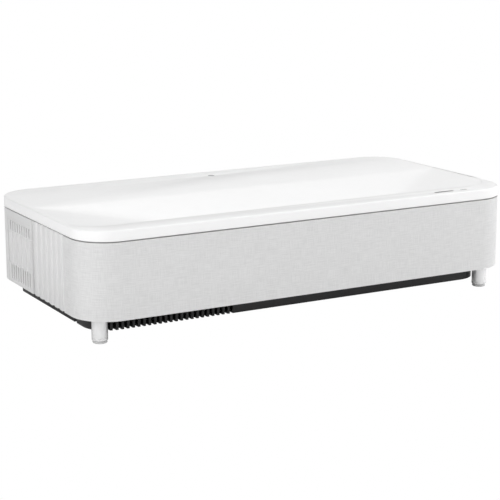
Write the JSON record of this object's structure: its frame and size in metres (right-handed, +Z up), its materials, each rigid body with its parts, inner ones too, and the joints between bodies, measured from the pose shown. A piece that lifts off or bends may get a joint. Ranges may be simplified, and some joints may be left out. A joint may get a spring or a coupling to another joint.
{
  "type": "ultra-short-throw home projector",
  "caption": "Low white ultra-short-throw projector with a cloth front, ribbed sides, a sloping lid recess over a shuttered window, and metal front feet.",
  "frame": {"origin": "middle of the footprint, on the surface that the feet stand on", "axes": "+X along the long side, -Y towards the cloth front, +Z up"},
  "size_m": [0.695, 0.341, 0.157],
  "materials": {
    "lid_white": "satin",
    "panel_white": "fine texture",
    "cloth": "fine weave",
    "grille_grey": "matte",
    "tray_black": "fine texture",
    "black_plastic": "matte",
    "foot_metal": "satin anodised",
    "rubber": "matte",
    "clear_glass": "coated",
    "mirror": "polished",
    "cast_metal": "as cast",
    "steel": "stamped",
    "brass": "plain",
    "board_green": "solder mask",
    "phosphor": "ceramic coating",
    "filter_paper": "pleated",
    "cone_paper": "pressed paper",
    "chip_black": "moulded"
  },
  "bodies": {
    "chassis": {"top_cover": "lid_white", "base_tray": "tray_black", "front_frame": "grille_grey", "front_cloth": "cloth", "left_panel": "panel_white", "right_panel": "panel_white", "rear_panel": "panel_white", "filter_housing": "black_plastic", "window_bezel": "black_plastic", "window_glass": "clear_glass", "shutter_motor": "steel", "key_board": "board_green", "status_lens": "clear_glass", "foot_nuts": "brass", "rear_feet": "rubber", "lid_screws": "steel", "speaker_box_left": "black_plastic", "speaker_box_right": "black_plastic", "speaker_baskets": "steel", "speaker_cone_left": "cone_paper", "speaker_cone_right": "cone_paper", "speaker_magnets": "steel", "intake_fan_frame": "black_plastic", "exhaust_fan_frames": "black_plastic", "engine_base": "cast_metal", "engine_housing": "cast_metal", "engine_lid": "cast_metal", "laser_block": "brass", "laser_diodes": "brass", "laser_heatsink": "cast_metal", "wheel_motor": "steel", "relay_optics": "clear_glass", "lcd_panels": "chip_black", "prism": "clear_glass", "lens_barrel": "black_plastic", "lens_elements": "clear_glass", "focus_motor": "steel", "mirror": "mirror", "main_board": "board_green", "port_shells": "steel", "power_board": "board_green", "power_parts": "chip_black", "power_inlet": "black_plastic"},
    "shutter": {"shutter": "lid_white"},
    "shutter_pinion": {"shutter_pinion": "brass"},
    "power_key": {"power_key": "black_plastic"},
    "foot_left": {"foot_pad_left": "rubber"},
    "foot_left_screw": {"foot_sleeve_left": "foot_metal"},
    "foot_right": {"foot_pad_right": "rubber"},
    "foot_right_screw": {"foot_sleeve_right": "foot_metal"},
    "intake_rotor": {"intake_rotor": "black_plastic"},
    "exhaust_rotor_front": {"exhaust_rotor_front": "black_plastic"},
    "exhaust_rotor_rear": {"exhaust_rotor_rear": "black_plastic"},
    "phosphor_wheel": {"phosphor_wheel": "phosphor"},
    "focus_ring": {"focus_ring": "grille_grey"},
    "focus_pinion": {"focus_pinion": "brass"},
    "filter_cover": {"filter_cover": "panel_white"},
    "filter": {"filter_frame": "grille_grey", "filter_media": "filter_paper"}
  },
  "joints": [
    {"name": "shutter_slide", "type": "slide", "parent": "chassis", "child": "shutter", "axis": [0, 0.9884, 0.1521], "range_m": [0, 0.054]},
    {"name": "shutter_pinion_turn", "type": "hinge", "parent": "chassis", "child": "shutter_pinion", "pos_m": [0.112, -0.06998, 0.12816], "axis": [1, 0, 0], "range_deg": [-450, 0]},
    {"name": "power_key_press", "type": "slide", "parent": "chassis", "child": "power_key", "axis": [0, 0, -1], "range_m": [0, 0.001], "stiffness_N_per_m": 300},
    {"name": "foot_left_slide", "type": "slide", "parent": "chassis", "child": "foot_left", "axis": [0, 0, -1], "range_m": [0, 0.008]},
    {"name": "foot_left_turn", "type": "hinge", "parent": "foot_left", "child": "foot_left_screw", "pos_m": [-0.316, -0.137, 0], "axis": [0, 0, 1], "range_deg": [-2300, 0]},
    {"name": "foot_right_slide", "type": "slide", "parent": "chassis", "child": "foot_right", "axis": [0, 0, -1], "range_m": [0, 0.008]},
    {"name": "foot_right_turn", "type": "hinge", "parent": "foot_right", "child": "foot_right_screw", "pos_m": [0.316, -0.137, 0], "axis": [0, 0, 1], "range_deg": [-2300, 0]},
    {"name": "intake_rotor_spin", "type": "hinge", "parent": "chassis", "child": "intake_rotor", "pos_m": [-0.31, 0.0695, 0.078], "axis": [1, 0, 0], "continuous": true},
    {"name": "exhaust_rotor_front_spin", "type": "hinge", "parent": "chassis", "child": "exhaust_rotor_front", "pos_m": [0.33, -0.045, 0.078], "axis": [1, 0, 0], "continuous": true},
    {"name": "exhaust_rotor_rear_spin", "type": "hinge", "parent": "chassis", "child": "exhaust_rotor_rear", "pos_m": [0.33, 0.05, 0.078], "axis": [1, 0, 0], "continuous": true},
    {"name": "phosphor_wheel_spin", "type": "hinge", "parent": "chassis", "child": "phosphor_wheel", "pos_m": [-0.135, 0.091, 0.078], "axis": [1, 0, 0], "continuous": true},
    {"name": "focus_turn", "type": "hinge", "parent": "chassis", "child": "focus_ring", "pos_m": [0, -0.016, 0.078], "axis": [0, 1, 0], "range_deg": [-20, 20]},
    {"name": "focus_pinion_turn", "type": "hinge", "parent": "chassis", "child": "focus_pinion", "pos_m": [0.0495, -0.016, 0.078], "axis": [0, 1, 0], "range_deg": [-76, 76]},
    {"name": "filter_cover_slide", "type": "slide", "parent": "chassis", "child": "filter_cover", "axis": [-1, 0, 0], "range_m": [0, 0.06]},
    {"name": "filter_slide", "type": "slide", "parent": "chassis", "child": "filter", "axis": [-1, 0, 0], "range_m": [0, 0.042]}
  ],
  "couplings": [
    {"joint": "shutter_pinion_turn", "follows": "shutter_slide", "rad_per_m": -138.89},
    {"joint": "foot_left_slide", "follows": "foot_left_turn", "m_per_rad": -0.00019894},
    {"joint": "foot_right_slide", "follows": "foot_right_turn", "m_per_rad": -0.00019894},
    {"joint": "focus_pinion_turn", "follows": "focus_turn", "ratio": -3.75},
    {"joint": "filter_slide", "follows": "filter_cover_slide", "ratio": 0.7}
  ]
}
